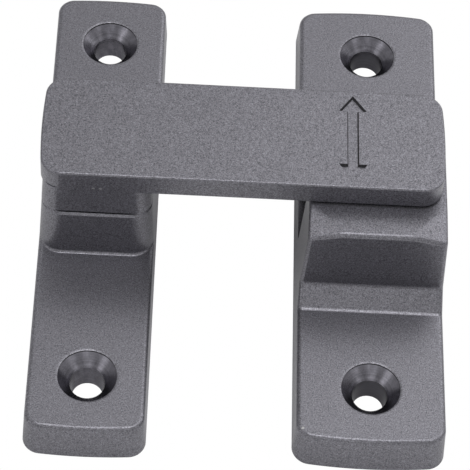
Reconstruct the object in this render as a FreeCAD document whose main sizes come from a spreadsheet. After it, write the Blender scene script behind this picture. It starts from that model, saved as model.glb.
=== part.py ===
import FreeCAD, Part

import math
import os
import re

import Sketcher

# Barn door latch: a screwed base plate with a raised pivot boss, a flat bar that turns on it, and a
# keeper plate whose hump stands under the free end of the bar.
# Frame: the origin is on the pivot axis at the mounting face, +X runs along the closed bar,
# +Y up the plates and +Z out of the mounting face. All sizes are millimetres and degrees.

SIZES = {
    # both cast plates
    "plate_thickness": 5.6,
    "casting_draft": 2.8,
    "end_draft": 11.0,
    "edge_round": 0.7,
    "edge_break": 0.3,
    "corner_round": 3.0,
    "end_arc_radius": 80.0,
    # screw holes of both plates
    "screw_spacing": 60.0,
    "screw_bore": 4.35,
    "countersink_width": 8.4,
    "countersink_angle": 90.0,
    # base plate and its boss
    "base_width": 17.1,
    "base_length": 79.6,
    "boss_height": 14.2,
    "boss_round": 3.3,
    # turning bar and its hub
    "bar_length": 56.7,
    "bar_width": 17.1,
    "bar_thickness": 3.65,
    "bar_overhang": 8.1,
    "bar_round": 2.7,
    "bar_edge_break": 0.25,
    "seam_gap": 0.4,
    "hub_height": 5.0,
    # keeper with its hump, ramps, corner facets and side recess
    "keeper_offset": 39.45,
    "keeper_width": 21.25,
    "keeper_length": 79.6,
    "hump_length": 22.1,
    "hump_shift": 3.8,
    "hump_clearance": 0.35,
    "hump_edge_round": 0.9,
    "ramp_height": 2.5,
    "ramp_run": 2.75,
    "ramp_round": 1.0,
    "facet_width": 5.2,
    "facet_length": 5.2,
    "facet_drop": 1.2,
    "recess_width": 9.0,
    "recess_shift": 0.85,
    "recess_roof": 3.0,
    "recess_wall": 3.0,
    "recess_round": 0.8,
    # fits of the pivot
    "running_fit": 0.05,
    "face_gap": 0.05,
    "part_gap": 0.3,
    # pivot
    "spigot_width": 6.6,
    "bush_wall": 0.8,
    "bush_flange_width": 9.6,
    "bush_flange_thickness": 0.8,
    "pivot_recess_width": 12.8,
    "friction_washer_thickness": 0.8,
    "spring_thickness": 0.5,
    "spring_rise": 0.3,
    "spring_width": 11.2,
    "clamp_washer_thickness": 1.2,
    "key_width": 5.2,
    "screw_width": 4.0,
    "screw_length": 12.0,
    "screw_head_width": 7.6,
    "screw_head_height": 2.2,
    "screw_head_sink": 0.6,
    "socket_width": 2.5,
    "socket_depth": 1.3,
    "tap_run_out": 1.5,
    # stop that ends the swing
    "swing_limit": 90.0,
    "stop_inner_width": 10.6,
    "stop_outer_width": 13.6,
    "stop_angle": 24.0,
    "stop_depth": 1.6,
    "stop_play": 2.0,
}

# smallest volume that counts as a change, and how close two heights are taken as one
SMALLEST_CHANGE = 1e-3
NEAR = 1e-4


def inset(height):
    """How far a drafted wall has come in at a height above the mounting face."""
    return f"({height} * tan(casting_draft))"


def hump_reach(back):
    """How far the hump reaches at its foot: in front of the plate's middle for -1, behind it for 1."""
    return f"(hump_length / 2 - {back} * hump_shift)"


# heights above the mounting face and sizes of fits that follow from the cells
HUB_BOTTOM = "(boss_height + seam_gap)"
BAR_UNDERSIDE = f"({HUB_BOTTOM} + hub_height)"
HUMP_TOP = f"({BAR_UNDERSIDE} - hump_clearance)"
RAMP_TOP = "(plate_thickness + ramp_height)"
ABOVE_ALL = f"({BAR_UNDERSIDE} + 2 * bar_thickness)"
BOSS_LENGTH = f"(bar_width + 2 * {inset(BAR_UNDERSIDE)})"
HEAD_TOP = "(screw_head_sink + screw_head_height)"
CLAMP_TOP = f"({HEAD_TOP} + clamp_washer_thickness)"
SPRING_HEIGHT = "(spring_thickness + spring_rise)"
UPPER_SPRING = f"({CLAMP_TOP} + {SPRING_HEIGHT} + face_gap)"
WASHER_LOW = f"({UPPER_SPRING} + {SPRING_HEIGHT} + 2 * face_gap)"
RECESS_FLOOR = f"({WASHER_LOW} + friction_washer_thickness)"
FLANGE_SEAT = f"({HUB_BOTTOM} - face_gap - bush_flange_thickness)"
FLANGE_TOP = f"({HUB_BOTTOM} - face_gap)"
BUSH_BORE = "(spigot_width + 2 * running_fit)"
BUSH_WIDTH = f"({BUSH_BORE} + 2 * bush_wall)"
LOOSE_BORE = "(spigot_width + 2 * part_gap)"

doc = FreeCAD.newDocument("barn_door_latch")


def make_sheet():
    """One row for each driving dimension."""
    table = doc.addObject("Spreadsheet::Sheet", "Sizes")
    for row, (alias, size) in enumerate(SIZES.items(), start=1):
        table.set(f"A{row}", alias)
        table.set(f"B{row}", str(size))
        table.setAlias(f"B{row}", alias)
    doc.recompute()
    return table


sheet = make_sheet()


def cells(text):
    """Write out the sheet's name before every cell alias in an expression."""
    return re.sub(r"\b(" + "|".join(SIZES) + r")\b", r"Sizes.\1", text)


def value(text):
    """The number that an expression gives now."""
    result = sheet.evalExpression(cells(text))
    return float(getattr(result, "Value", result))


# bodies and sketches

def make_body(name):
    body = doc.addObject("PartDesign::Body", name)
    body.Label = name
    return body


def plane(body, role):
    return next(item for item in body.Origin.OriginFeatures if item.Role == role)


def make_sketch(body, name, role="XY_Plane", height=None):
    """A sketch on one of the body's own planes, lifted along the plane's normal."""
    sketch = body.newObject("Sketcher::SketchObject", name)
    sketch.AttachmentSupport = [(plane(body, role), "")]
    sketch.MapMode = "FlatFace"
    if height is not None:
        sketch.setExpression("AttachmentOffset.Base.z", cells(height))
    return sketch


def constrain(sketch, *rules):
    for kind, *references in rules:
        sketch.addConstraint(Sketcher.Constraint(kind, *references))


def bind(sketch, kind, references, name, text):
    """Add a dimension and tie it to the sheet."""
    index = sketch.addConstraint(Sketcher.Constraint(kind, *references, value(text)))
    sketch.renameConstraint(index, name)
    sketch.setExpression(f"Constraints.{name}", cells(text))


def place_point(sketch, geometry, point, name, across, up):
    """Hold one point at bound distances from the sketch's origin, or on an axis where one is 0."""
    for kind, letter, axis, text in (("DistanceX", "x", -2, across), ("DistanceY", "y", -1, up)):
        if text == "0":
            constrain(sketch, ("PointOnObject", geometry, point, axis))
        else:
            bind(sketch, kind, (-1, 1, geometry, point), f"{name}_{letter}", text)


def draw_polygon(sketch, corners):
    """Closed outline of straight lines; each corner is a pair of expressions."""
    points = [FreeCAD.Vector(value(across), value(up)) for across, up in corners]
    last = len(points) - 1
    for index, start in enumerate(points):
        sketch.addGeometry(Part.LineSegment(start, points[0 if index == last else index + 1]))
    for index, (across, up) in enumerate(corners):
        constrain(sketch, ("Coincident", index - 1 if index else last, 2, index, 1))
        place_point(sketch, index, 1, f"corner{index}", across, up)


def draw_circle(sketch, width, across="0", up="0"):
    centre = FreeCAD.Vector(value(across), value(up))
    index = sketch.addGeometry(Part.Circle(centre, FreeCAD.Vector(0, 0, 1), value(width) / 2))
    bind(sketch, "Diameter", (index,), f"width{index}", width)
    place_point(sketch, index, 3, f"centre{index}", across, up)


def add_arc(sketch, across, up, radius, begin, end):
    circle = Part.Circle(FreeCAD.Vector(across, up), FreeCAD.Vector(0, 0, 1), radius)
    sketch.addGeometry(Part.ArcOfCircle(circle, begin, end))


def draw_corners(sketch, across, up, middle, radius, meet):
    """Four equal corner arcs, from front right round to front left, each turned by the angle meet."""
    half_turn = math.pi
    spans = ((-meet, 0), (0, meet), (half_turn - meet, half_turn), (half_turn, half_turn + meet))
    for (right, back), (begin, end) in zip(((1, -1), (1, 1), (-1, 1), (-1, -1)), spans):
        add_arc(sketch, middle.x + right * across, middle.y + back * up, radius, begin, end)


def join_corners(sketch):
    """Tie corner arcs 0 to 3 to the sides 4 to 7 that run between them, and to each other's size."""
    for index in range(4):
        constrain(sketch, ("Tangent", index, 2, 4 + index, 1))
        constrain(sketch, ("Tangent", 4 + index, 2, (index + 1) % 4, 1))
    for index in range(1, 4):
        constrain(sketch, ("Equal", 0, index))
    constrain(sketch, ("Vertical", 4), ("Vertical", 6))


def draw_rounded_box(sketch, width, length, radius, across="0", up="0"):
    """Rectangle with round corners, centred on a bound point."""
    middle = FreeCAD.Vector(value(across), value(up))
    corner = value(radius)
    draw_corners(sketch, value(width) / 2 - corner, value(length) / 2 - corner, middle, corner, math.pi / 2)
    for index in range(4):
        start = sketch.Geometry[index].EndPoint
        sketch.addGeometry(Part.LineSegment(start, sketch.Geometry[(index + 1) % 4].StartPoint))
    join_corners(sketch)
    constrain(sketch, ("Horizontal", 5), ("Horizontal", 7))
    bind(sketch, "Radius", (0,), "corner_radius", radius)
    bind(sketch, "DistanceX", (3, 3, 0, 3), "centres_across", f"{width} - 2 * {radius}")
    bind(sketch, "DistanceY", (0, 3, 1, 3), "centres_up", f"{length} - 2 * {radius}")
    bind(sketch, "DistanceX", (-1, 1, 0, 3), "first_across", f"{across} + {width} / 2 - {radius}")
    bind(sketch, "DistanceY", (-1, 1, 1, 3), "first_up", f"{up} + {length} / 2 - {radius}")


def draw_crowned_outline(sketch, width, length):
    """Straight sides and slightly bowed ends."""
    bow, side = value("end_arc_radius"), value(width) / 2
    bow_centre = value(length) / 2 - bow
    meet = math.acos(side / bow)
    up = bow_centre + bow * math.sin(meet)
    for across in (side, -side):
        start = FreeCAD.Vector(across, -math.copysign(up, across))
        sketch.addGeometry(Part.LineSegment(start, FreeCAD.Vector(across, -start.y)))
    add_arc(sketch, 0, bow_centre, bow, meet, math.pi - meet)
    add_arc(sketch, 0, -bow_centre, bow, math.pi + meet, -meet)
    constrain(
        sketch, ("Coincident", 0, 2, 2, 1), ("Coincident", 2, 2, 1, 1), ("Coincident", 1, 2, 3, 1),
        ("Coincident", 3, 2, 0, 1), ("Vertical", 0), ("Vertical", 1), ("Equal", 2, 3),
        ("PointOnObject", 2, 3, -2), ("PointOnObject", 3, 3, -2))
    bind(sketch, "Radius", (2,), "end_radius", "end_arc_radius")
    bind(sketch, "DistanceX", (-1, 1, 0, 1), "right_side", f"{width} / 2")
    bind(sketch, "DistanceX", (1, 1, -1, 1), "left_side", f"{width} / 2")
    bind(sketch, "DistanceY", (2, 3, -1, 1), "back_centre", f"end_arc_radius - {length} / 2")
    bind(sketch, "DistanceY", (-1, 1, 3, 3), "front_centre", f"end_arc_radius - {length} / 2")


def draw_double_flat(sketch, width, flats):
    """Circle cut off by two straight flats, for a key that can't turn in its hole."""
    radius, side = value(width) / 2, value(flats) / 2
    meet = math.acos(side / radius)
    up = radius * math.sin(meet)
    for across in (side, -side):
        start = FreeCAD.Vector(across, -math.copysign(up, across))
        sketch.addGeometry(Part.LineSegment(start, FreeCAD.Vector(across, -start.y)))
    add_arc(sketch, 0, 0, radius, meet, math.pi - meet)
    add_arc(sketch, 0, 0, radius, math.pi + meet, -meet)
    constrain(
        sketch, ("Coincident", 0, 2, 2, 1), ("Coincident", 2, 2, 1, 1), ("Coincident", 1, 2, 3, 1),
        ("Coincident", 3, 2, 0, 1), ("Vertical", 0), ("Vertical", 1), ("Coincident", 2, 3, -1, 1),
        ("Coincident", 3, 3, -1, 1))
    bind(sketch, "Radius", (2,), "radius", f"{width} / 2")
    bind(sketch, "DistanceX", (-1, 1, 0, 1), "right_flat", f"{flats} / 2")
    bind(sketch, "DistanceX", (1, 1, -1, 1), "left_flat", f"{flats} / 2")


def ring_profile(body, name, bore, width, low, high):
    """Rectangle beside the pivot axis, ready to be turned."""
    sketch = make_sketch(body, name, "XZ_Plane")
    inner = "0" if bore == "0" else f"{bore} / 2"
    draw_polygon(sketch, [(inner, low), (f"{width} / 2", low), (f"{width} / 2", high), (inner, high)])
    return sketch


# features

def finish_feature(body, feature, adds):
    """Recompute and make sure that the feature added or removed material as it should."""
    before = feature.BaseFeature.Shape.Volume if feature.BaseFeature else 0
    doc.recompute()
    change = feature.Shape.Volume - before
    if (change > 0) != adds or abs(change) < SMALLEST_CHANGE:
        raise ValueError(f"{body.Label}: {feature.Name} changed the volume by {change:.4f}")


def pad(body, name, sketch, length, draft=None):
    """Add material from a sketch along its normal, drawn in by the draft."""
    feature = body.newObject("PartDesign::Pad", name)
    feature.Profile = sketch
    feature.setExpression("Length", cells(length))
    if draft:
        feature.setExpression("TaperAngle", cells(f"-{draft}"))
    finish_feature(body, feature, adds=True)


def pocket(body, name, sketch, length=None):
    """Take material away along the sketch's normal; without a length the cut runs through both ways."""
    feature = body.newObject("PartDesign::Pocket", name)
    feature.Profile = sketch
    if length:
        feature.Reversed = True
        feature.setExpression("Length", cells(length))
    else:
        feature.SideType = "Symmetric"
        feature.Type = "ThroughAll"
    finish_feature(body, feature, adds=False)


def turn(body, name, sketch, kind="Revolution", angle=None):
    """Turn a profile about the sketch's upright axis, fully or by an angle that straddles +X."""
    feature = body.newObject(f"PartDesign::{kind}", name)
    feature.Profile = sketch
    feature.ReferenceAxis = (sketch, ["V_Axis"])
    if angle:
        feature.Midplane = True
        feature.setExpression("Angle", cells(angle))
    else:
        feature.Angle = 360
    finish_feature(body, feature, adds=kind == "Revolution")


def dress_edges(body, name, kind, edges):
    """A fillet or chamfer on the given edges of the body as it is now."""
    base = body.Tip
    numbered = enumerate(base.Shape.Edges, start=1)
    names = [f"Edge{number}" for number, edge in numbered if any(edge.isSame(wanted) for wanted in edges)]
    feature = body.newObject(f"PartDesign::{kind}", name)
    feature.Base = (base, names)
    return feature


def round_edges(body, name, radius, edges):
    """Fillet of one radius."""
    dress_edges(body, name, "Fillet", edges).setExpression("Radius", cells(radius))
    doc.recompute()


def break_edges(body, name, width, edges):
    """A narrow chamfer, where the edge is only broken."""
    dress_edges(body, name, "Chamfer", edges).setExpression("Size", cells(width))
    doc.recompute()


def lean_in(body, name, draft, axis):
    """Tilt the upright walls that face along an axis, about their feet."""
    base = body.Tip
    names = []
    for number, face in enumerate(base.Shape.Faces, start=1):
        begin_u, end_u, begin_v, end_v = face.ParameterRange
        outward = face.normalAt((begin_u + end_u) / 2, (begin_v + end_v) / 2)
        if abs(outward.dot(axis)) > math.cos(math.pi / 4):
            names.append(f"Face{number}")
    feature = body.newObject("PartDesign::Draft", name)
    feature.Base = (base, names)
    feature.NeutralPlane = (plane(body, "XY_Plane"), [""])
    feature.setExpression("Angle", cells(draft))
    finish_feature(body, feature, adds=False)


def raise_block(body, width, length, height):
    """Block on a crowned outline; its ends lean in more than its sides, and its corners are round."""
    outline = make_sketch(body, "block_outline")
    draw_crowned_outline(outline, width, length)
    pad(body, "block", outline, height)
    lean_in(body, "side_lean", "casting_draft", FreeCAD.Vector(1, 0, 0))
    lean_in(body, "end_lean", "end_draft", FreeCAD.Vector(0, 1, 0))
    round_edges(body, "block_corners", "corner_round", upright_edges(body))


def drill_countersunk(body):
    """The two countersunk screw holes, on the plate's centre line."""
    sketch = make_sketch(body, "screw_centres", height="plate_thickness")
    for up in ("screw_spacing / 2", "-screw_spacing / 2"):
        draw_circle(sketch, "screw_bore", up=up)
    doc.recompute()
    hole = body.newObject("PartDesign::Hole", "screw_holes")
    hole.Profile = sketch
    hole.ThreadType = "None"
    hole.DepthType = "ThroughAll"
    hole.HoleCutType = "Countersink"
    hole.HoleCutCustomValues = True
    hole.setExpression("Diameter", cells("screw_bore"))
    hole.setExpression("HoleCutDiameter", cells("countersink_width"))
    hole.setExpression("HoleCutCountersinkAngle", cells("countersink_angle"))
    finish_feature(body, hole, adds=False)


# edges to round

def edges_at(body, height):
    """Edges that lie wholly at one height."""
    level = value(height)
    edges = body.Tip.Shape.Edges
    return [edge for edge in edges
            if max(abs(edge.BoundBox.ZMin - level), abs(edge.BoundBox.ZMax - level)) < NEAR]


def upright_edges(body):
    """Edges that climb from the foot of the body to its top."""
    return [edge for edge in body.Tip.Shape.Edges if edge.BoundBox.ZLength > NEAR]


def cross_edges(body, height):
    """Edges at one height that run straight across the plate."""
    return [edge for edge in edges_at(body, height) if edge.BoundBox.YLength < NEAR]


def top_rim(body):
    """Edges where the outer walls end at the top, all the way round."""
    shape = body.Tip.Shape
    foot = [edge for edge in shape.Edges if edge.BoundBox.ZMax < NEAR]
    beside = [face for edge in foot for face in shape.ancestorsOfType(edge, Part.Face)]
    walls = [face for face in beside if face.BoundBox.ZMax > NEAR]
    edges = [edge for face in walls for edge in face.Edges if edge.BoundBox.ZMax > NEAR]
    return [edge for edge in edges if sum(edge.isSame(other) for other in edges) == 1]


# sub-parts

def make_latch_base():
    """Base plate with the boss that carries the bar, hollowed from behind for the pivot's end."""
    body = make_body("latch_base")
    raise_block(body, "base_width", "base_length", "plate_thickness")
    round_edges(body, "plate_edge", "edge_round", edges_at(body, "plate_thickness"))
    foot = make_sketch(body, "boss_outline")
    draw_rounded_box(foot, "base_width", BOSS_LENGTH, "boss_round")
    pad(body, "boss", foot, "boss_height", draft="casting_draft")
    break_edges(body, "boss_edge", "edge_break", edges_at(body, "boss_height"))
    drill_countersunk(body)
    bore_boss(body)
    return body


def bore_boss(body):
    """Seats for the bush and the pivot's end, and the curved track that the stop lug runs in."""
    cuts = (
        ("bush_bore", BUSH_WIDTH, "0", ABOVE_ALL),
        ("flange_seat", "(bush_flange_width + 2 * running_fit)", FLANGE_SEAT, ABOVE_ALL),
        ("pivot_recess", "pivot_recess_width", "0", RECESS_FLOOR))
    for name, width, low, high in cuts:
        turn(body, name, ring_profile(body, f"{name}_section", "0", width, low, high), "Groove")
    track = ring_profile(
        body, "stop_track_section", "stop_inner_width", "stop_outer_width",
        "boss_height - stop_depth - part_gap", ABOVE_ALL)
    turn(body, "stop_track", track, "Groove", "2 * swing_limit + stop_angle + 2 * stop_play")


def make_swing_bar():
    """Flat bar cast in one with its hub, the spigot that turns in the bush and the stop lug."""
    body = make_body("swing_bar")
    outline = make_sketch(body, "bar_outline", height=BAR_UNDERSIDE)
    outline.AttachmentOffset = FreeCAD.Placement(outline.AttachmentOffset.Base, FreeCAD.Rotation(90, 0, 0))
    outline.setExpression("AttachmentOffset.Base.x", cells("bar_length / 2 - bar_overhang"))
    draw_crowned_outline(outline, "bar_width", "bar_length")
    pad(body, "bar", outline, "bar_thickness")
    round_edges(body, "bar_corners", "bar_round", upright_edges(body))
    break_edges(body, "bar_edge", "bar_edge_break", edges_at(body, f"{BAR_UNDERSIDE} + bar_thickness"))
    shrink = inset(HUB_BOTTOM)
    hub = make_sketch(body, "hub_outline", height=HUB_BOTTOM)
    draw_rounded_box(
        hub, f"(base_width - 2 * {shrink})", f"({BOSS_LENGTH} - 2 * {shrink})", f"(boss_round - {shrink})")
    pad(body, "hub", hub, "hub_height + edge_break", draft="casting_draft")
    break_edges(body, "hub_edge", "edge_break", edges_at(body, HUB_BOTTOM))
    add_spigot(body)
    return body


def add_spigot(body):
    """Spigot with a key for the clamp washer and a tapped hole, and the lug that ends the swing."""
    inside_hub = f"{HUB_BOTTOM} + hub_height / 2"
    turn(body, "spigot", ring_profile(body, "spigot_section", "0", "spigot_width", CLAMP_TOP, inside_hub))
    key = make_sketch(body, "key_outline", height=f"{HEAD_TOP} + face_gap")
    draw_double_flat(key, "spigot_width", "key_width")
    pad(body, "key", key, "clamp_washer_thickness")
    lug = ring_profile(
        body, "stop_lug_section", "(stop_inner_width + 2 * part_gap)", "(stop_outer_width - 2 * part_gap)",
        "boss_height - stop_depth", inside_hub)
    turn(body, "stop_lug", lug, angle="stop_angle")
    tap = ring_profile(
        body, "tapped_hole_section", "0", "(screw_width + 2 * running_fit)", "0",
        f"{HEAD_TOP} + screw_length + tap_run_out")
    turn(body, "tapped_hole", tap, "Groove")


def make_keeper():
    """Keeper plate with a hump that stands under the bar, ramped down to the plate at both ends."""
    body = make_body("keeper")
    body.setExpression("Placement.Base.x", cells("keeper_offset"))
    raise_block(body, "keeper_width", "keeper_length", HUMP_TOP)
    cut_shoulders(body)
    ramp_edges = cross_edges(body, "plate_thickness") + cross_edges(body, RAMP_TOP)
    round_edges(body, "ramp_foot", "ramp_round", ramp_edges)
    round_edges(body, "hump_edge", "hump_edge_round", cross_edges(body, HUMP_TOP))
    round_edges(body, "outer_edge", "edge_round", top_rim(body))
    cut_facets(body)
    hollow_hump(body)
    drill_countersunk(body)
    return body


def cut_shoulders(body):
    """Take the block down to the plate in front of and behind the hump, leaving the ramps."""
    for name, back in (("front_shoulder", -1), ("back_shoulder", 1)):
        section = make_sketch(body, f"{name}_section", "YZ_Plane")
        wall_foot = f"({hump_reach(back)} - {inset(RAMP_TOP)})"
        wall_top = f"({hump_reach(back)} - {inset(ABOVE_ALL)})"
        draw_polygon(section, [
            (f"{back} * keeper_length", "plate_thickness"),
            (f"{back} * ({wall_foot} + ramp_run)", "plate_thickness"),
            (f"{back} * {wall_foot}", RAMP_TOP),
            (f"{back} * {wall_top}", ABOVE_ALL),
            (f"{back} * keeper_length", ABOVE_ALL)])
        pocket(body, name, section)


def cut_facets(body):
    """Slope the four corners of the hump's top, so that the bar rides up instead of catching."""
    for name, right, back in (
            ("front_right", 1, -1), ("back_right", 1, 1), ("back_left", -1, 1), ("front_left", -1, -1)):
        cut_facet(body, f"{name}_facet", right, back)


def cut_facet(body, name, right, back):
    """A box whose underside slopes down towards one corner of the hump."""
    side = f"(keeper_width / 2 - {inset(HUMP_TOP)} - facet_width / 2)"
    end = f"({hump_reach(back)} - {inset(HUMP_TOP)} - facet_length / 2)"
    ridge = "sqrt(facet_width ^ 2 + facet_length ^ 2)"
    slope = f"atan(facet_drop * {ridge} / (facet_width * facet_length))"
    heading = f"rotationz(atan2({right} * facet_length; {-back} * facet_width))"
    middle = f"vector({right} * {side}; {back} * {end}; {HUMP_TOP})"
    on_ridge = f"placement({middle}; {heading} * rotationx({slope}))"
    feature = body.newObject("PartDesign::SubtractiveBox", name)
    feature.AttachmentSupport = [(plane(body, "XY_Plane"), "")]
    feature.MapMode = "FlatFace"
    for side_name, length in (("Length", f"2 * {ridge}"), ("Width", ridge), ("Height", ridge)):
        feature.setExpression(side_name, cells(length))
    shift = f"placement(vector(-{ridge}; -{ridge}; 0); rotationx(0))"
    feature.setExpression("AttachmentOffset", cells(f"{on_ridge} * {shift}"))
    finish_feature(body, feature, adds=False)


def hollow_hump(body):
    """Recess in the side of the hump that faces the base, level with the plate's top."""
    height = f"({HUMP_TOP} - recess_roof - plate_thickness)"
    mouth = make_sketch(body, "recess_mouth", "YZ_Plane", "-keeper_width / 2")
    middle = f"plate_thickness + {height} / 2"
    draw_rounded_box(mouth, "recess_width", height, "recess_round", across="-recess_shift", up=middle)
    pocket(body, "recess", mouth, f"keeper_width - {inset(RAMP_TOP)} - recess_wall")


def make_pivot_bush():
    """Flanged sleeve pressed into the boss; the hub rests on its flange."""
    body = make_body("pivot_bush")
    sleeve = ring_profile(body, "sleeve_section", BUSH_BORE, BUSH_WIDTH, RECESS_FLOOR, FLANGE_SEAT)
    turn(body, "sleeve", sleeve)
    flange = ring_profile(body, "flange_section", BUSH_BORE, "bush_flange_width", FLANGE_SEAT, FLANGE_TOP)
    turn(body, "flange", flange)
    return body


def make_friction_washer():
    """Flat washer at the recess floor that the springs rub on."""
    body = make_body("friction_washer")
    width = "(pivot_recess_width - 2 * running_fit)"
    turn(body, "washer", ring_profile(body, "washer_section", LOOSE_BORE, width, WASHER_LOW, RECESS_FLOOR))
    return body


def make_disc_spring(name, inner_low, outer_low):
    """Conical spring washer, given by the height of its underside at the bore and at the rim."""
    body = make_body(name)
    sketch = make_sketch(body, "disc_section", "XZ_Plane")
    inner, outer = f"{LOOSE_BORE} / 2", "spring_width / 2"
    draw_polygon(sketch, [
        (inner, inner_low),
        (outer, outer_low),
        (outer, f"{outer_low} + spring_thickness"),
        (inner, f"{inner_low} + spring_thickness")])
    turn(body, "disc", sketch)
    return body


def make_lower_disc_spring():
    """Stands on the clamp washer, with its rim up."""
    return make_disc_spring("lower_disc_spring", CLAMP_TOP, f"{CLAMP_TOP} + spring_rise")


def make_upper_disc_spring():
    """Stands on the lower one with its rim down, so that the two give together."""
    return make_disc_spring("upper_disc_spring", f"{UPPER_SPRING} + spring_rise", UPPER_SPRING)


def make_clamp_washer():
    """Washer locked to the spigot by its flats and held by the screw."""
    body = make_body("clamp_washer")
    outline = make_sketch(body, "washer_outline", height=HEAD_TOP)
    draw_circle(outline, "spring_width")
    pad(body, "washer", outline, "clamp_washer_thickness")
    hole = make_sketch(body, "key_hole_outline", height=HEAD_TOP)
    draw_double_flat(hole, BUSH_BORE, "(key_width + 2 * running_fit)")
    pocket(body, "key_hole", hole, "2 * clamp_washer_thickness")
    return body


def make_pivot_screw():
    """Socket screw put in from behind, through the clamp washer into the spigot."""
    body = make_body("pivot_screw")
    head = ring_profile(body, "head_section", "0", "screw_head_width", "screw_head_sink", HEAD_TOP)
    turn(body, "head", head)
    break_edges(body, "head_edge", "edge_break", edges_at(body, "screw_head_sink"))
    inside_head = "screw_head_sink + screw_head_height / 2"
    screw_end = f"{HEAD_TOP} + screw_length"
    turn(body, "shank", ring_profile(body, "shank_section", "0", "screw_width", inside_head, screw_end))
    socket = make_sketch(body, "socket_outline", height="screw_head_sink")
    reach = "socket_width / sqrt(3)"
    turns = range(30, 390, 60)
    draw_polygon(socket, [(f"{reach} * cos({angle})", f"{reach} * sin({angle})") for angle in turns])
    pocket(body, "socket", socket, "socket_depth")
    return body


MAKERS = (
    make_latch_base, make_swing_bar, make_keeper, make_pivot_bush, make_friction_washer,
    make_lower_disc_spring, make_upper_disc_spring, make_clamp_washer, make_pivot_screw)


def check(bodies):
    """Stop at any object that failed to compute and at any sub-part without one sound solid."""
    for item in doc.Objects:
        if {"Invalid", "Error"} & set(item.State):
            raise ValueError(f"{item.Name} is {item.State}")
    for body in bodies:
        shape = body.Shape
        if shape.isNull() or not shape.isValid() or len(shape.Solids) != 1:
            raise ValueError(f"{body.Label} has no sound solid")


def main():
    bodies = [make() for make in MAKERS]
    doc.recompute()
    check(bodies)
    os.makedirs("parts", exist_ok=True)
    for body in bodies:
        body.Shape.exportStep(f"parts/{body.Label}.step")
        print(body.Label, round(body.Shape.Volume, 1))


if __name__ == "__main__":
    main()
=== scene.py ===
"""Looks of a barn door latch: its painted base plate, swing bar and keeper plate, and the pivot inside."""

import logging
import math
from collections.abc import Callable, Iterable, Mapping, Sequence
from dataclasses import dataclass, field
from enum import Enum

import bmesh
import bpy
from mathutils import Matrix, Vector

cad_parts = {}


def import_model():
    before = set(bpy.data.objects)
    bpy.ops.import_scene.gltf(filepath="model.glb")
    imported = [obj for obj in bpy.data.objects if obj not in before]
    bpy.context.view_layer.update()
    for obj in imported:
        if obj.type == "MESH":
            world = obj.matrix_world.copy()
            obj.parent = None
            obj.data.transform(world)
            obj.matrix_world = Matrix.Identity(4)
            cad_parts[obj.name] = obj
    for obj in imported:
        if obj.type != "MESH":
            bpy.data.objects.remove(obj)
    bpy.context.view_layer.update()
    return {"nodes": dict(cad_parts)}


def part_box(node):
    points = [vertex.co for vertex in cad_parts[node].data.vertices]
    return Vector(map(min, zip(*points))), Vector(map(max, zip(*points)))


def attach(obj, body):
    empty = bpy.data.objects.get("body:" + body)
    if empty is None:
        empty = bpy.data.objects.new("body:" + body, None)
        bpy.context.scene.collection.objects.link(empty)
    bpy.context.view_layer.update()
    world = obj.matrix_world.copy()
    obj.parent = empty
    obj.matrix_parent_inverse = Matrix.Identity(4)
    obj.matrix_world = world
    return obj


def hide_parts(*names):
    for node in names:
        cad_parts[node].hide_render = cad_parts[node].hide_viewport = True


log = logging.getLogger("latch")

# metres in a millimetre
MM = 0.001
# millimetres within which points are merged, and within which two places count as one
WELD = 1e-4
NEAR = 1e-3
# part of a unit vector along an axis from which it counts as lying mostly, or straight, along that axis
MOSTLY = 0.9
STRAIGHT = 0.99
# height of a face's unit normal up to which the face counts as upright
UPRIGHT = 0.2
# degrees between two faces from which their edge is drawn sharp
SHARP_ANGLE = 28
# metres that a full step in a bump's height stands for
BUMP_DEPTH = 0.00005
# numbers of the Mix node's sockets for colours, whose names repeat for each kind of data
MIX_FIRST, MIX_SECOND, MIX_RESULT = 6, 7, 2
# kinds of socket of a node group
NUMBER, VECTOR = "NodeSocketFloat", "NodeSocketVector"

Edge = bmesh.types.BMEdge
Face = bmesh.types.BMFace
Material = bpy.types.Material
Node = bpy.types.Node
Object = bpy.types.Object
Triple = tuple[float, float, float]
Socket = bpy.types.NodeSocket


class Body(Enum):
    """The two bodies that the pieces ride on."""

    MOUNTED = "mounted"
    SWINGING = "swinging"


class Slot(Enum):
    """Material slots of the record."""

    PAINT = "cast_paint"
    STEEL = "steel"
    BRONZE = "bronze"
    ACETAL = "acetal"


class Joining(Enum):
    """How two solids become one."""

    ADD = "UNION"
    CUT = "DIFFERENCE"


class Skin(Enum):
    """Order of the materials on a casting."""

    PAINTED = 0
    # painted shade: dark paint on the walls of recesses, grooves and seams, where shade falls
    PAINTED_SHADE = 1
    MACHINED = 2
    # darker metal in the keeper's bores: painted shade
    BORE_SHADE = 3


# solids in the making

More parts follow.
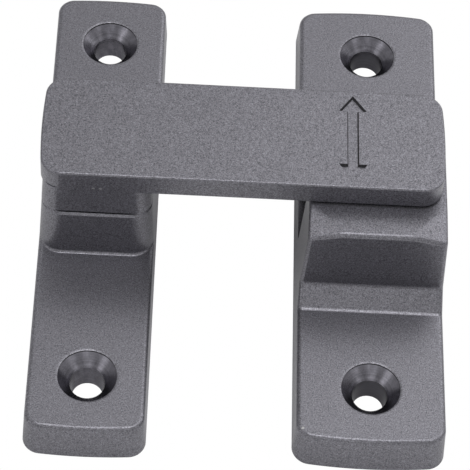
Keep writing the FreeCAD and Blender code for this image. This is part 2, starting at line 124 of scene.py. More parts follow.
class Blank:
    """A closed solid in the making, in millimetres, shaped by bmesh operators."""

    CORNER_SEGMENTS = 10
    END_CUTS = 11

    def __init__(self) -> None:
        """Start with nothing."""
        self.mesh = bmesh.new()
        self.top: Face | None = None

    @classmethod
    def sheet(cls, width: float, length: float, corner: float) -> "Blank":
        """Flat rectangle with round corners about the origin, ready to be raised.

        Args:
            width: Size along X.
            length: Size along Y.
            corner: Radius of the corners.

        Returns:
            The blank, whose top is the rectangle.
        """
        blank = cls()
        bmesh.ops.create_grid(blank.mesh, x_segments=1, y_segments=1, size=0.5)
        bmesh.ops.scale(blank.mesh, vec=(width, length, 1), verts=blank.mesh.verts[:])
        bmesh.ops.bevel(
            blank.mesh, geom=blank.mesh.verts[:], offset=corner, offset_type="OFFSET",
            segments=cls.CORNER_SEGMENTS, profile=0.5, affect="VERTICES", material=-1)
        blank.top = blank.mesh.faces[:][0]
        return blank

    @classmethod
    def crowned(cls, width: float, length: float, corner: float, bow: float) -> "Blank":
        """Flat rectangle with round corners whose ends, across Y, are bowed outwards.

        Args:
            width: Size along X.
            length: Size along Y, at the middle of the ends.
            corner: Radius of the corners.
            bow: Radius of the bowed ends.

        Returns:
            The blank, whose top is the outline.
        """
        blank = cls.sheet(width, length, corner)
        for edge in blank.mesh.edges[:]:
            if all(abs(vert.co.y) > length / 2 - NEAR for vert in edge.verts):
                bmesh.ops.subdivide_edges(blank.mesh, edges=[edge], cuts=cls.END_CUTS)
        for vert in blank.mesh.verts:
            vert.co.y -= math.copysign(bow - math.sqrt(bow ** 2 - vert.co.x ** 2), vert.co.y)
        blank.top = blank.mesh.faces[:][0]
        return blank

    @classmethod
    def polygon(cls, corners: Iterable[Sequence[float]]) -> "Blank":
        """Flat face through a few corners, ready to be raised or spun.

        Args:
            corners: The corners in order.

        Returns:
            The blank, whose top is the face.
        """
        blank = cls()
        verts = [blank.mesh.verts.new(corner) for corner in corners]
        blank.top = blank.mesh.faces.new(verts)
        return blank

    @classmethod
    def lathe(cls, section: Iterable[tuple[float, float]], steps: int = 72, sweep: float = 360) -> "Blank":
        """Solid turned about Z from a section of radius and height.

        Args:
            section: Corners of the section as radius and height.
            steps: Facets round the sweep.
            sweep: Degrees turned, centred on +X.

        Returns:
            The turned solid.
        """
        blank = cls.polygon((radius, 0, height) for radius, height in section)
        whole = sweep == 360
        if whole:
            bmesh.ops.delete(blank.mesh, geom=[blank.top], context="FACES_ONLY")
            on_axis = [edge for edge in blank.mesh.edges if all(vert.co.x == 0 for vert in edge.verts)]
            bmesh.ops.delete(blank.mesh, geom=on_axis, context="EDGES")
        blank.turn(-sweep / 2, "Z")
        bmesh.ops.spin(
            blank.mesh, geom=blank.mesh.verts[:] + blank.mesh.edges[:] + blank.mesh.faces[:], cent=(0, 0, 0),
            axis=(0, 0, 1), angle=math.radians(sweep), steps=steps, use_merge=whole)
        blank.weld()
        return blank

    @classmethod
    def cylinder(cls, width: float, low: float, high: float) -> "Blank":
        """Solid cylinder about Z, given by its diameter and its two heights."""
        return cls.lathe([(0, low), (width / 2, low), (width / 2, high), (0, high)])

    @classmethod
    def ring(cls, widths: tuple[float, float], low: float, high: float, steps: int, sweep: float) -> "Blank":
        """Part of a ring about Z.

        Args:
            widths: Inner and outer diameter.
            low: Height of its underside.
            high: Height of its top.
            steps: Facets round the sweep.
            sweep: Degrees turned, centred on +X.

        Returns:
            The ring.
        """
        near, far = widths[0] / 2, widths[1] / 2
        return cls.lathe([(near, low), (far, low), (far, high), (near, high)], steps, sweep)

    def weld(self) -> None:
        """Merge doubles, drop what has no area and turn every face outwards."""
        bmesh.ops.remove_doubles(self.mesh, verts=self.mesh.verts[:], dist=WELD)
        bmesh.ops.dissolve_degenerate(self.mesh, dist=WELD, edges=self.mesh.edges[:])
        bmesh.ops.recalc_face_normals(self.mesh, faces=self.mesh.faces[:])

    def raise_to(self, height: float, width: float, length: float) -> None:
        """Extrude the top face to a height and resize it there.

        Args:
            height: Height of the new top.
            width: Size of the new top along X.
            length: Size of the new top along Y.
        """
        self.extrude()
        verts = self.top.verts[:]
        now_wide = max(vert.co.x for vert in verts) - min(vert.co.x for vert in verts)
        now_long = max(vert.co.y for vert in verts) - min(vert.co.y for vert in verts)
        bmesh.ops.scale(self.mesh, vec=(width / now_wide, length / now_long, 1), verts=verts)
        bmesh.ops.translate(self.mesh, vec=(0, 0, height - verts[0].co.z), verts=verts)

    def extrude(self) -> None:
        """Put a new top face over the old one, which stays only as the bottom of the whole."""
        covered = [self.top] if any(len(edge.link_faces) > 1 for edge in self.top.edges) else []
        grown = bmesh.ops.extrude_face_region(self.mesh, geom=[self.top])["geom"]
        self.top = next(item for item in grown if isinstance(item, Face))
        bmesh.ops.delete(self.mesh, geom=[face for face in covered if face.is_valid], context="FACES_ONLY")

    def push(self, way: Sequence[float]) -> None:
        """Extrude the top face and clean up.

        Args:
            way: How far the new top is moved.
        """
        self.extrude()
        bmesh.ops.translate(self.mesh, vec=way, verts=self.top.verts[:])
        self.weld()

    def move(self, way: Sequence[float]) -> "Blank":
        """Shift the whole solid and return it."""
        bmesh.ops.translate(self.mesh, vec=way, verts=self.mesh.verts[:])
        return self

    def turn(self, degrees: float, axis: str) -> "Blank":
        """Turn the whole solid about an axis through the origin.

        Args:
            degrees: How far it turns.
            axis: The axis as a letter.

        Returns:
            The same solid.
        """
        matrix = Matrix.Rotation(math.radians(degrees), 3, axis)
        bmesh.ops.rotate(self.mesh, verts=self.mesh.verts[:], matrix=matrix)
        return self

    def shave(self, point: Sequence[float], outward: Sequence[float]) -> None:
        """Take away all that lies outside a plane and close the cut.

        Args:
            point: A point on the plane.
            outward: The plane's normal, towards what goes.
        """
        everything = self.mesh.verts[:] + self.mesh.edges[:] + self.mesh.faces[:]
        cut = bmesh.ops.bisect_plane(
            self.mesh, geom=everything, dist=WELD, plane_co=point, plane_no=outward, clear_outer=True)
        edges = [item for item in cut["geom_cut"] if isinstance(item, Edge)]
        bmesh.ops.edgeloop_fill(self.mesh, edges=edges)
        self.weld()

    def combine(self, tool: "Blank", joining: Joining) -> None:
        """Add another solid to this one, or cut it away.

        Args:
            tool: The other solid, used up by this.
            joining: Whether it is added or cut.
        """
        tool.weld()
        other = tool.to_object("tool")
        self.apply("BOOLEAN", object=other, operation=joining.value, solver="EXACT")
        discard(other)

    def soften(self, radius: Callable[[Edge], float], segments: int = 5) -> None:
        """Round edges, each by its own radius.

        Args:
            radius: Gives the radius of an edge, 0 where it stays sharp.
            segments: Strips across each rounding.
        """
        layer = self.mesh.edges.layers.float.new("bevel_weight_edge")
        offsets = {}
        for edge in self.mesh.edges:
            size = radius(edge) if len(edge.link_faces) == 2 else 0
            if size:
                offsets[edge] = size * math.tan(edge.calc_face_angle() / 2)
        widest = max(offsets.values())
        for edge, offset in offsets.items():
            edge[layer] = offset / widest
        self.apply(
            "BEVEL", limit_method="WEIGHT", offset_type="OFFSET", width=widest, segments=segments,
            profile=0.5, use_clamp_overlap=False, miter_outer="MITER_SHARP")

    def coat(self, skin: Skin, covers: Callable[[Vector, Vector], bool]) -> None:
        """Give some of the faces a skin.

        Args:
            skin: The skin.
            covers: Tells from a face's middle and its normal whether it gets the skin.
        """
        for face in self.mesh.faces:
            if covers(face.calc_center_median(), face.normal):
                face.material_index = skin.value

    def apply(self, kind: str, **settings: object) -> None:
        """Run one modifier on the solid.

        Args:
            kind: The modifier's type.
            settings: Its properties.
        """
        holder = self.to_object("holder")
        modifier = holder.modifiers.new("work", kind)
        for name, setting in settings.items():
            setattr(modifier, name, setting)
        bpy.context.view_layer.update()
        worked = holder.evaluated_get(bpy.context.evaluated_depsgraph_get())
        result = bpy.data.meshes.new_from_object(worked)
        self.mesh.clear()
        self.mesh.from_mesh(result)
        bpy.data.meshes.remove(result)
        discard(holder)
        self.weld()

    def to_object(self, name: str) -> Object:
        """Copy the solid as it is into an object.

        Args:
            name: The object's name.

        Returns:
            The object.
        """
        data = bpy.data.meshes.new(name)
        self.mesh.to_mesh(data)
        holder = bpy.data.objects.new(name, data)
        bpy.context.scene.collection.objects.link(holder)
        return holder

    def finish(self, name: str, skins: Sequence[Material]) -> Object:
        """Turn the solid into a piece in metres, shaded smooth between its sharp edges.

        Args:
            name: The piece's name.
            skins: Its materials in the order of Skin.

        Returns:
            The piece, at the origin.
        """
        self.weld()
        bmesh.ops.scale(self.mesh, vec=(MM, MM, MM), verts=self.mesh.verts[:])
        open_edges = sum(not edge.is_manifold for edge in self.mesh.edges)
        piece = self.to_object(name)
        for skin in skins:
            piece.data.materials.append(skin)
        piece.data.shade_smooth()
        piece.data.set_sharp_from_angle(angle=math.radians(SHARP_ANGLE))
        modifier = piece.modifiers.new("flat_faces_stay_flat", "WEIGHTED_NORMAL")
        modifier.keep_sharp = True
        log.info("%s: %d faces, %d open edges", name, len(piece.data.polygons), open_edges)
        return piece


def discard(holder: Object) -> None:
    """Remove a helper object with its mesh.

    Args:
        holder: The object.
    """
    data = holder.data
    bpy.data.objects.remove(holder)
    bpy.data.meshes.remove(data)


def rim_rounding(height: float, radius: float) -> Callable[[Edge], float]:
    """Rule that rounds the edges at a height or above it, and no others."""
    return lambda edge: radius if all(vert.co.z > height - NEAR for vert in edge.verts) else 0


# node trees

class Wiring:
    """Adds and joins the nodes of one tree."""

    def __init__(self, tree: bpy.types.NodeTree) -> None:
        """Work on a tree."""
        self.tree = tree

    def add(self, kind: str, inputs: dict[str | int, object] | None = None, **settings: object) -> Node:
        """Add a node, set it up and connect it.

        Args:
            kind: The node's type.
            inputs: Values or output sockets by the name or number of the input.
            settings: Properties of the node.

        Returns:
            The node.
        """
        node = self.tree.nodes.new(kind)
        for name, setting in settings.items():
            setattr(node, name, setting)
        self.feed(node, inputs or {})
        return node

    def feed(self, node: Node, inputs: dict[str | int, object]) -> None:
        """Set or connect some of a node's inputs.

        Args:
            node: The node.
            inputs: Values or output sockets by the name or number of the input.
        """
        for key, entry in inputs.items():
            if isinstance(entry, Socket):
                self.tree.links.new(entry, node.inputs[key])
            else:
                node.inputs[key].default_value = entry

    def math(self, operation: str, *terms: object) -> Socket:
        """One step of arithmetic on values or sockets."""
        return self.add("ShaderNodeMath", dict(enumerate(terms)), operation=operation).outputs[0]

    def noise(self, **inputs: object) -> Socket:
        """Noise between 0 and 1, set up by the names of its inputs."""
        return self.add("ShaderNodeTexNoise", inputs).outputs["Fac"]

    def swing(self, value: Socket, middle: float, size: object, gain: float) -> Socket:
        """How far a value lies from its middle, times a size and a gain."""
        centred = self.math("SUBTRACT", value, middle)
        return self.math("MULTIPLY", centred, self.math("MULTIPLY", size, gain))

    def normal(self, height: Socket, strength: float) -> Socket:
        """The normal that a height over the surface gives."""
        bump = self.add("ShaderNodeBump", {"Height": height, "Strength": strength, "Distance": BUMP_DEPTH})
        return bump.outputs["Normal"]


class Effect:
    """A shader node group with named inputs and outputs, built once and shared by the materials."""

    name = ""
    inputs: dict[str, tuple[str, object]] = {}
    outputs: dict[str, str] = {}

    def wire(self, wiring: Wiring, given: Mapping[str, Socket]) -> dict[str, Socket]:
        """Build the nodes between the group's inputs and outputs.

        Args:
            wiring: The group's own wiring.
            given: The group's inputs by name.

        Returns:
            The sockets that feed the group's outputs, by name.
        """
        raise NotImplementedError

    def tree(self) -> bpy.types.NodeTree:
        """The node group, made at its first use."""
        if self.name in bpy.data.node_groups:
            return bpy.data.node_groups[self.name]
        group = bpy.data.node_groups.new(self.name, "ShaderNodeTree")
        for name, (kind, default) in self.inputs.items():
            socket = group.interface.new_socket(name=name, in_out="INPUT", socket_type=kind)
            socket.default_value = default
        for name, kind in self.outputs.items():
            group.interface.new_socket(name=name, in_out="OUTPUT", socket_type=kind)
        wiring = Wiring(group)
        results = self.wire(wiring, group.nodes.new("NodeGroupInput").outputs)
        wiring.add("NodeGroupOutput", results)
        return group

    def use(self, wiring: Wiring, inputs: dict[str, object]) -> Node:
        """Place the group in a material with its own values."""
        return wiring.add("ShaderNodeGroup", inputs, node_tree=self.tree())


class PaintGrain(Effect):
    """Fine grain of a sprayed metallic paint: speckle of two sizes over slow clouds."""

    COARSE_SCALE = 0.45
    COARSE_SHARE = 0.2
    CLOUD_SCALE = 0.02
    MIDDLE = 0.6
    GAIN = 4.0
    name = "paint_grain"
    inputs = {
        "Vector": (VECTOR, (0, 0, 0)),
        "Grain": (NUMBER, 0.0002),
        "Contrast": (NUMBER, 0.2),
        "Cloud": (NUMBER, 0.03),
    }
    outputs = {"Tone": NUMBER, "Height": NUMBER}

    def wire(self, wiring: Wiring, given: Mapping[str, Socket]) -> dict[str, Socket]:
        """Mix the noises around a tone of 1.

        Args:
            wiring: The group's own wiring.
            given: The group's inputs by name.

        Returns:
            The tone and the height.
        """
        place, density = given["Vector"], wiring.math("DIVIDE", 1.0, given["Grain"])
        coarse_density = wiring.math("MULTIPLY", density, self.COARSE_SCALE)
        cloud_density = wiring.math("MULTIPLY", density, self.CLOUD_SCALE)
        fine = wiring.noise(Vector=place, Scale=density, Detail=2.0, Roughness=0.65)
        coarse = wiring.noise(Vector=place, Scale=coarse_density, Detail=1.0)
        clouds = wiring.noise(Vector=place, Scale=cloud_density, Detail=2.0)
        speckle = wiring.math("ADD", fine, wiring.math("MULTIPLY", coarse, self.COARSE_SHARE))
        quick = wiring.swing(speckle, self.MIDDLE, given["Contrast"], self.GAIN)
        slow = wiring.swing(clouds, 0.5, given["Cloud"], self.GAIN)
        return {"Tone": wiring.math("ADD", wiring.math("ADD", quick, slow), 1.0), "Height": speckle}


class TurnedRings(Effect):
    """Rings that a tool leaves as it turns about Z: they change with height alone."""

    name = "turned_rings"
    inputs = {
        "Vector": (VECTOR, (0, 0, 0)),
        "Pitch": (NUMBER, 0.00025),
        "Contrast": (NUMBER, 0.3),
    }
    outputs = {"Tone": NUMBER, "Height": NUMBER}

    def wire(self, wiring: Wiring, given: Mapping[str, Socket]) -> dict[str, Socket]:
        """Read noise along Z only.

        Args:
            wiring: The group's own wiring.
            given: The group's inputs by name.

        Returns:
            The tone and the height.
        """
        parts = wiring.add("ShaderNodeSeparateXYZ", {"Vector": given["Vector"]})
        along = wiring.math("DIVIDE", parts.outputs["Z"], given["Pitch"])
        rings = wiring.add(
            "ShaderNodeTexNoise", {"W": along, "Scale": 1.0, "Detail": 2.0}, noise_dimensions="1D")
        spread = wiring.swing(rings.outputs["Fac"], 0.5, given["Contrast"], 2.0)
        return {"Tone": wiring.math("ADD", spread, 1.0), "Height": rings.outputs["Fac"]}


class RadialStreaks(Effect):
    """Streaks that run down the cone of each of two countersinks."""

    BREAKS_PER_METRE = 250.0
    name = "radial_streaks"
    inputs = {
        "Vector": (VECTOR, (0, 0, 0)),
        "Across": (NUMBER, 0.0),
        "Apart": (NUMBER, 0.06),
        "Density": (NUMBER, 3.0),
        "Contrast": (NUMBER, 0.5),
    }
    outputs = {"Tone": NUMBER}

    def wire(self, wiring: Wiring, given: Mapping[str, Socket]) -> dict[str, Socket]:
        """Read noise by the direction from the nearer hole's axis.

        Args:
            wiring: The group's own wiring.
            given: The group's inputs by name.

        Returns:
            The tone.
        """
        parts = wiring.add("ShaderNodeSeparateXYZ", {"Vector": given["Vector"]})
        aside = wiring.math("SUBTRACT", parts.outputs["X"], given["Across"])
        half = wiring.math("MULTIPLY", given["Apart"], 0.5)
        ahead = wiring.math("SUBTRACT", wiring.math("ABSOLUTE", parts.outputs["Y"]), half)
        flat = wiring.add("ShaderNodeCombineXYZ", {"X": aside, "Y": ahead})
        way = wiring.add("ShaderNodeVectorMath", {0: flat.outputs["Vector"]}, operation="NORMALIZE")
        height = wiring.math("MULTIPLY", parts.outputs["Z"], self.BREAKS_PER_METRE)
        lifted = wiring.add("ShaderNodeCombineXYZ", {"Z": height})
        spot = wiring.add(
            "ShaderNodeVectorMath", {0: way.outputs["Vector"], 1: lifted.outputs["Vector"]}, operation="ADD")
        streaks = wiring.noise(
            Vector=spot.outputs["Vector"], Scale=given["Density"], Detail=4.0, Roughness=0.7)
        spread = wiring.swing(streaks, 0.5, given["Contrast"], 4.0)
        return {"Tone": wiring.math("ADD", spread, 1.0)}


class Chip(Effect):
    """A ragged spot where the paint is knocked off."""

    RAGGEDNESS = 3000.0
    name = "paint_chip"
    inputs = {
        "Vector": (VECTOR, (0, 0, 0)),
        "Centre": (VECTOR, (0, 0, 0)),
        "Radius": (NUMBER, 0.0004),
    }
    outputs = {"Mask": NUMBER}

    def wire(self, wiring: Wiring, given: Mapping[str, Socket]) -> dict[str, Socket]:
        """Compare the distance from the centre with a radius broken up by noise.

        Args:
            wiring: The group's own wiring.
            given: The group's inputs by name.

        Returns:
            The mask, 1 inside the spot.
        """
        apart = wiring.add(
            "ShaderNodeVectorMath", {0: given["Vector"], 1: given["Centre"]}, operation="DISTANCE")
        ragged = wiring.noise(Vector=given["Vector"], Scale=self.RAGGEDNESS, Detail=2.0)
        reach = wiring.math("MULTIPLY", given["Radius"], wiring.math("ADD", ragged, 0.5))
        share = wiring.math("DIVIDE", apart.outputs["Value"], reach)
        mask = wiring.add(
            "ShaderNodeMapRange",
            {"Value": share, "From Min": 0.8, "From Max": 1.05, "To Min": 1.0, "To Max": 0.0})
        return {"Mask": mask.outputs["Result"]}


def new_material(name: str) -> tuple[Material, Wiring, Node]:
    """An empty material with its shader.

    Args:
        name: The material's name.

    Returns:
        The material, its wiring and its Principled shader.
    """
    material = bpy.data.materials.new(name)
    material.use_nodes = True
    return material, Wiring(material.node_tree), material.node_tree.nodes["Principled BSDF"]


def tint(wiring: Wiring, colour: Sequence[float], tone: Socket) -> Socket:
    """Make a colour lighter or darker over the surface.

    Args:
        wiring: The material's wiring.
        colour: Red, green and blue.
        tone: What the colour is multiplied by, around 1.

    Returns:
        The tinted colour.
    """
    scaled = wiring.add("ShaderNodeVectorMath", {0: colour[:3], "Scale": tone}, operation="SCALE")
    return scaled.outputs["Vector"]


@dataclass(frozen=True)
class Knock:
    """A place where a casting lost some paint, in millimetres."""

    centre: Triple
    radius: float


@dataclass(frozen=True)
class CastPaint:
    """Satin dark grey metallic paint on the castings."""

    colour: Triple = (0.185, 0.182, 0.203)
    bare: Triple = (0.42, 0.415, 0.42)
    metallic: float = 0.87
    roughness: float = 0.36
    grain: float = 0.00016
    contrast: float = 0.72
    bump: float = 0.12
    chip_depth: float = 3.0

    def material(self, name: str, knocks: Sequence[Knock] = ()) -> Material:
        """The paint, with the places where it is chipped.

        Args:
            name: The material's name.
            knocks: Chips on this casting.

        Returns:
            The material.
        """
        material, wiring, shader = new_material(name)
        place = wiring.add("ShaderNodeTexCoord").outputs["Object"]
        grain = PaintGrain().use(wiring, {"Vector": place, "Grain": self.grain, "Contrast": self.contrast})
        colour = tint(wiring, self.colour, grain.outputs["Tone"])
        height = grain.outputs["Height"]
        for knock in knocks:
            centre = tuple(MM * part for part in knock.centre)
            chip = Chip().use(wiring, {"Vector": place, "Centre": centre, "Radius": MM * knock.radius})
            mask = chip.outputs["Mask"]
            mixed = {"Factor": mask, MIX_FIRST: colour, MIX_SECOND: (*self.bare, 1)}
            colour = wiring.add("ShaderNodeMix", mixed, data_type="RGBA").outputs[MIX_RESULT]
            height = wiring.math("SUBTRACT", height, wiring.math("MULTIPLY", mask, self.chip_depth))
        wiring.feed(shader, {
            "Base Color": colour, "Normal": wiring.normal(height, self.bump),
            "Metallic": self.metallic, "Roughness": self.roughness})
        return material


@dataclass(frozen=True)
class TurnedMetal:
    """Metal with the rings of a turning or countersinking tool."""

    colour: Triple
    metallic: float = 1.0
    roughness: float = 0.3
    pitch: float = 0.00025
    contrast: float = 0.3
    bump: float = 0.2
    streaks: float = 0.0

    def material(self, name: str, across: float = 0) -> Material:
        """The turned metal.

        Args:
            name: The material's name.
            across: Where the streaked holes stand along X, in metres.

        Returns:
            The material.
        """
        material, wiring, shader = new_material(name)
        place = wiring.add("ShaderNodeTexCoord").outputs["Object"]
        rings = TurnedRings().use(wiring, {"Vector": place, "Pitch": self.pitch, "Contrast": self.contrast})
        tone = rings.outputs["Tone"]
        if self.streaks:
            marks = RadialStreaks().use(wiring, {"Vector": place, "Across": across, "Contrast": self.streaks})
            tone = wiring.math("MULTIPLY", tone, marks.outputs["Tone"])
        wiring.feed(shader, {
            "Base Color": tint(wiring, self.colour, tone),
            "Normal": wiring.normal(rings.outputs["Height"], self.bump),
            "Metallic": self.metallic, "Roughness": self.roughness})
        return material


@dataclass(frozen=True)
class MouldedPlastic:
    """Plain moulded plastic with a faint mottle."""

    colour: Triple = (0.72, 0.70, 0.64)
    roughness: float = 0.45
    grain: float = 0.0006
    contrast: float = 0.04

    def material(self, name: str) -> Material:
        """The plastic.

        Args:
            name: The material's name.

        Returns:
            The material.
        """
        material, wiring, shader = new_material(name)
        place = wiring.add("ShaderNodeTexCoord").outputs["Object"]
        grain = PaintGrain().use(wiring, {"Vector": place, "Grain": self.grain, "Contrast": self.contrast})
        colour = tint(wiring, self.colour, grain.outputs["Tone"])
        wiring.feed(shader, {"Base Color": colour, "Roughness": self.roughness})
        return material


# castings

@dataclass
class ScrewHole:
    """Countersunk hole for a mounting screw, in millimetres."""

    bore: float = 4.35
    throat: float = 5.0
    mouth: float = 8.3
    step: float = 0.4
    lip: float = 0.34
    lip_drop: float = 0.13
    spacing: float = 60.0
    bore_skin: Skin = Skin.MACHINED

    def cut(self, casting: Blank, across: float, thickness: float) -> None:
        """Cut both holes of a plate.

        Args:
            casting: The plate.
            across: Where the holes stand along X.
            thickness: The plate's thickness.
        """
        wide, neck = self.mouth / 2, self.throat / 2
        rim = thickness - self.step
        section = [
            (0, -1), (self.bore / 2, -1), (self.bore / 2, 0), (neck, rim - wide + neck), (wide, rim),
            (wide, thickness - self.lip_drop), (wide + self.lip, thickness), (wide + self.lip, thickness + 1),
            (0, thickness + 1)]
        for side in (-1, 1):
            casting.combine(Blank.lathe(section).move((across, side * self.spacing / 2, 0)), Joining.CUT)

    def machine(self, casting: Blank, across: float, thickness: float) -> None:
        """Give the cones and the bores of both holes their skins, and paint shade on the steps above the
        cones.

        Args:
            casting: The plate.
            across: Where the holes stand along X.
            thickness: The plate's thickness.
        """
        bore, throat, mouth, rim = self.bore / 2, self.throat / 2, self.mouth / 2, thickness - self.step

        def off_axis(place: Vector) -> float:
            """Distance from the nearer hole's axis."""
            return math.hypot(place.x - across, abs(place.y) - self.spacing / 2)

        casting.coat(
            Skin.MACHINED,
            lambda place, way: bore < off_axis(place) < mouth and place.z < rim and UPRIGHT < way.z < MOSTLY)
        casting.coat(self.bore_skin, lambda place, way: off_axis(place) < throat and abs(way.z) < UPRIGHT)
        # painted shade: the step walls above the cones get dark paint, where shade falls
        casting.coat(
            Skin.PAINTED_SHADE,
            lambda place, way: off_axis(place) < mouth + NEAR and place.z > rim and abs(way.z) < UPRIGHT)


@dataclass
class CrownedPlate:
    """Plate with bowed ends and round corners, cast with draft, in millimetres and degrees."""

    width: float
    length: float
    thickness: float = 5.6
    side_draft: float = 2.8
    end_draft: float = 11.0
    corner: float = 2.3
    bow: float = 80.0
    edge: float = 0.7
    hole: ScrewHole = field(default_factory=ScrewHole)

    def inset(self, height: float) -> float:
        """How far a side has come in at a height."""
        return height * math.tan(math.radians(self.side_draft))

    def block(self, height: float) -> Blank:
        """Block on the plate's outline.

        Args:
            height: Its height.

        Returns:
            The block about the origin, with sharp edges.
        """
        blank = Blank.crowned(self.width, self.length, self.corner, self.bow)
        lean = 2 * height * math.tan(math.radians(self.end_draft))
        blank.raise_to(height, self.width - 2 * self.inset(height), self.length - lean)
        blank.weld()
        return blank


@dataclass
class LatchBase(CrownedPlate):
    """Base plate with the boss that carries the bar."""

    boss_height: float = 14.2
    boss_length: float = 19.02
    boss_round: float = 3.3
    boss_break: float = 0.3
    boss_step: float = 0.005
    foot_round: float = 0.45
    foot_steps: int = 5
    root: float = 2.0
    bush_bore: float = 8.3
    flange_seat: float = 9.7
    flange_depth: float = 0.45
    recess_width: float = 12.8
    recess_floor: float = 6.55
    track_widths: tuple[float, float] = (10.6, 13.6)
    track_depth: float = 1.9
    track_sweep: float = 208.0
    track_steps: int = 60

    def boss(self) -> Blank:
        """The boss from inside the plate upwards, flared at its foot and a hair narrower than the plate."""
        def size(height: float, flare: float = 0) -> tuple[float, float]:
            """Width and length at a height, with the length flared at both ends."""
            shrink = 2 * (self.inset(height) + self.boss_step)
            return self.width - shrink, self.boss_length - shrink + 2 * (self.boss_step + flare)

        low = self.thickness - self.root
        blank = Blank.sheet(*size(low, self.foot_round), self.boss_round)
        blank.move((0, 0, low))
        for step in range(self.foot_steps + 1):
            turned = math.radians(90 * step / self.foot_steps)
            rise, flare = (self.foot_round * (1 - part) for part in (math.cos(turned), math.sin(turned)))
            blank.raise_to(self.thickness + rise, *size(self.thickness + rise, flare))
        shoulder = self.boss_height - self.boss_break
        blank.raise_to(shoulder, *size(shoulder))
        blank.raise_to(self.boss_height, *(span - 2 * self.boss_break for span in size(self.boss_height)))
        blank.weld()
        return blank

    def build(self) -> Blank:
        """The whole base casting."""
        casting = self.block(self.thickness)
        casting.soften(rim_rounding(self.thickness, self.edge))
        casting.combine(self.boss(), Joining.ADD)
        self.hole.cut(casting, 0, self.thickness)
        self.bore(casting)
        self.hole.machine(casting, 0, self.thickness)
        return casting

    def bore(self, casting: Blank) -> None:
        """Cut the bush's seat, the recess in the back and the track of the stop lug.

        Args:
            casting: The base.
        """
        above = self.boss_height + 1
        seats = (
            (self.bush_bore, 1, above),
            (self.flange_seat, self.boss_height - self.flange_depth, above),
            (self.recess_width, -1, self.recess_floor))
        for seat in seats:
            casting.combine(Blank.cylinder(*seat), Joining.CUT)
        floor = self.boss_height - self.track_depth
        track = Blank.ring(self.track_widths, floor, above, self.track_steps, self.track_sweep)
        casting.combine(track, Joining.CUT)


@dataclass
class Arrow:
    """Double-headed arrow sunk in the bar, in millimetres; of two figures the first is for the front."""

    along: float = 35.56
    reach: tuple[float, float] = (7.75, 7.62)
    neck: tuple[float, float] = (4.5, 4.85)
    head_width: float = 4.0
    shaft_width: float = 1.64
    depth: float = 0.45
    draft: float = 0.17

    def covers(self, point: Vector) -> bool:
        """Whether a point lies within the arrow's frame."""
        return abs(point.x - self.along) <= self.head_width / 2 and abs(point.y) <= max(self.reach)

    def tool(self, surface: float) -> Blank:
        """The solid that is cut out of the bar.

        Args:
            surface: Height of the bar's top.

        Returns:
            The cutter.
        """
        half, shaft = self.head_width / 2, self.shaft_width / 2
        outline = []
        for way, reach, neck in zip((-1, 1), self.reach, self.neck):
            head = [(-shaft, neck), (-half, neck), (0, reach), (half, neck), (shaft, neck)]
            outline += [(-way * across, way * up) for across, up in head]
        blank = Blank.polygon((self.along + across, up, surface + self.depth) for across, up in outline)
        blank.push((0, 0, -self.depth))
        bmesh.ops.inset_individual(
            blank.mesh, faces=[blank.top], thickness=self.draft, depth=self.depth, use_even_offset=True)
        return blank


